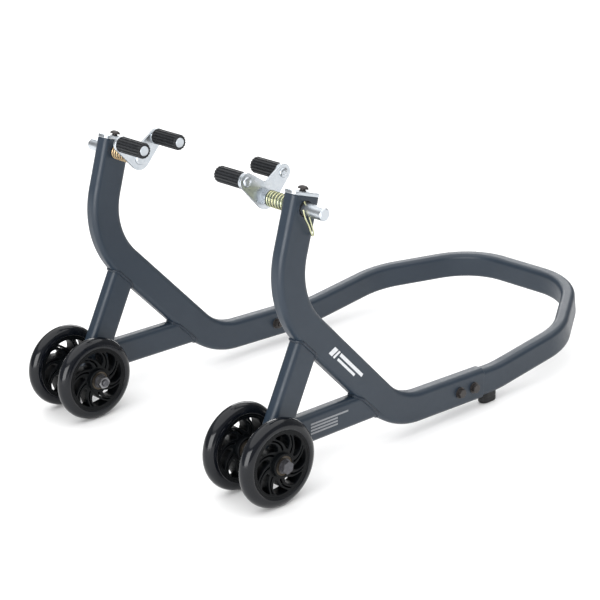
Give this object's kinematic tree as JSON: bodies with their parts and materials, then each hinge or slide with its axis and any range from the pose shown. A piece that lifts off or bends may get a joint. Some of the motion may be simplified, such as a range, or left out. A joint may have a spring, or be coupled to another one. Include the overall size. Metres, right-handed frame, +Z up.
{
  "type": "motorcycle paddock stand",
  "caption": "Motorcycle rear paddock stand: bent tube side frames on wheels, sprung V cradles with ribbed rubber rollers, and a bolted looped handle at the back.",
  "frame": {"origin": "middle of the footprint on the floor, under the centre of the overall box", "axes": "+X toward the handle loop, +Y to the side called left, +Z up"},
  "size_m": [0.6741, 0.4282, 0.3422],
  "materials": {
    "frame_paint": "satin powder coat",
    "weld_paint": "satin powder coat over weld bead",
    "loop_paint": "satin powder coat",
    "plug": "moulded",
    "zinc": "bright zinc plate",
    "bush": "turned",
    "black_bolt": "black zinc",
    "black_washer": "black zinc",
    "foot_rubber": "matt",
    "foot_screw": "zinc plate",
    "axle_bolt": "black zinc",
    "axle_nut": "zinc plate",
    "axle_washer": "zinc plate",
    "tyre": "glossy polyurethane",
    "wheel_core": "moulded",
    "bearing": "oiled",
    "lock_screw": "black zinc",
    "thrust_washer": "zinc plate",
    "spring": "yellow zinc",
    "cradle_shaft": "zinc plate",
    "cradle_plate": "zinc plate",
    "roller_pin": "zinc plate",
    "roller_rubber": "ribbed",
    "clip": "yellow zinc spring steel"
  },
  "bodies": {
    "frame": {"side_tube_left": "frame_paint", "leg_tube_left": "frame_paint", "brace_tube_left": "frame_paint", "weld_beads_left": "weld_paint", "axle_boss_left": "frame_paint", "leg_plug_left": "plug", "top_cap_left": "zinc", "shaft_bush_left": "bush", "side_tube_right": "frame_paint", "leg_tube_right": "frame_paint", "brace_tube_right": "frame_paint", "weld_beads_right": "weld_paint", "axle_boss_right": "frame_paint", "leg_plug_right": "plug", "top_cap_right": "zinc", "shaft_bush_right": "bush", "rear_loop": "loop_paint", "loop_bolts": "black_bolt", "loop_washers": "black_washer", "loop_nuts": "black_washer", "foot_pads": "foot_rubber", "foot_screws": "foot_screw", "axle_bolts": "axle_bolt", "axle_washers": "axle_washer", "axle_nuts": "axle_nut", "wheel_spacers": "axle_washer"},
    "wheel_outer_left": {"tyre_outer_left": "tyre", "core_outer_left": "wheel_core", "bearings_outer_left": "bearing"},
    "wheel_inner_left": {"tyre_inner_left": "tyre", "core_inner_left": "wheel_core", "bearings_inner_left": "bearing"},
    "lock_screw_left_body": {"lock_screw_left": "lock_screw"},
    "spring_seat_left": {"thrust_washer_left": "thrust_washer", "spring_left": "spring"},
    "cradle_left": {"cradle_shaft_left": "cradle_shaft", "cradle_plate_left": "cradle_plate", "cradle_collar_left": "cradle_shaft", "roller_pins_left": "roller_pin", "roller_sleeves_left": "roller_rubber", "shaft_clip_left": "clip"},
    "wheel_outer_right": {"tyre_outer_right": "tyre", "core_outer_right": "wheel_core", "bearings_outer_right": "bearing"},
    "wheel_inner_right": {"tyre_inner_right": "tyre", "core_inner_right": "wheel_core", "bearings_inner_right": "bearing"},
    "lock_screw_right_body": {"lock_screw_right": "lock_screw"},
    "spring_seat_right": {"thrust_washer_right": "thrust_washer", "spring_right": "spring"},
    "cradle_right": {"cradle_shaft_right": "cradle_shaft", "cradle_plate_right": "cradle_plate", "cradle_collar_right": "cradle_shaft", "roller_pins_right": "roller_pin", "roller_sleeves_right": "roller_rubber", "shaft_clip_right": "clip"}
  },
  "joints": [
    {"name": "wheel_outer_left_spin", "type": "hinge", "parent": "frame", "child": "wheel_outer_left", "pos_m": [-0.28708, 0.195, 0.05], "axis": [0, 1, 0], "continuous": true},
    {"name": "wheel_inner_left_spin", "type": "hinge", "parent": "frame", "child": "wheel_inner_left", "pos_m": [-0.28708, 0.135, 0.05], "axis": [0, 1, 0], "continuous": true},
    {"name": "lock_screw_left_lift", "type": "slide", "parent": "frame", "child": "lock_screw_left_body", "axis": [0.2905, 0, 0.9569], "range_m": [0, 0.0025]},
    {"name": "cradle_slide_left", "type": "slide", "parent": "frame", "child": "spring_seat_left", "axis": [0, 1, 0], "range_m": [0, 0.012], "stiffness_N_per_m": 1200, "springref_m": -0.008, "deforming": ["spring_left"]},
    {"name": "cradle_turn_left", "type": "hinge", "parent": "spring_seat_left", "child": "cradle_left", "pos_m": [-0.21944, 0.15, 0.31067], "axis": [0, 1, 0], "continuous": true},
    {"name": "wheel_outer_right_spin", "type": "hinge", "parent": "frame", "child": "wheel_outer_right", "pos_m": [-0.28708, -0.195, 0.05], "axis": [0, 1, 0], "continuous": true},
    {"name": "wheel_inner_right_spin", "type": "hinge", "parent": "frame", "child": "wheel_inner_right", "pos_m": [-0.28708, -0.135, 0.05], "axis": [0, 1, 0], "continuous": true},
    {"name": "lock_screw_right_lift", "type": "slide", "parent": "frame", "child": "lock_screw_right_body", "axis": [0.2905, 0, 0.9569], "range_m": [0, 0.0025]},
    {"name": "cradle_slide_right", "type": "slide", "parent": "frame", "child": "spring_seat_right", "axis": [0, -1, 0], "range_m": [0, 0.012], "stiffness_N_per_m": 1200, "springref_m": -0.008, "deforming": ["spring_right"]},
    {"name": "cradle_turn_right", "type": "hinge", "parent": "spring_seat_right", "child": "cradle_right", "pos_m": [-0.21944, -0.15, 0.31067], "axis": [0, 1, 0], "continuous": true}
  ]
}
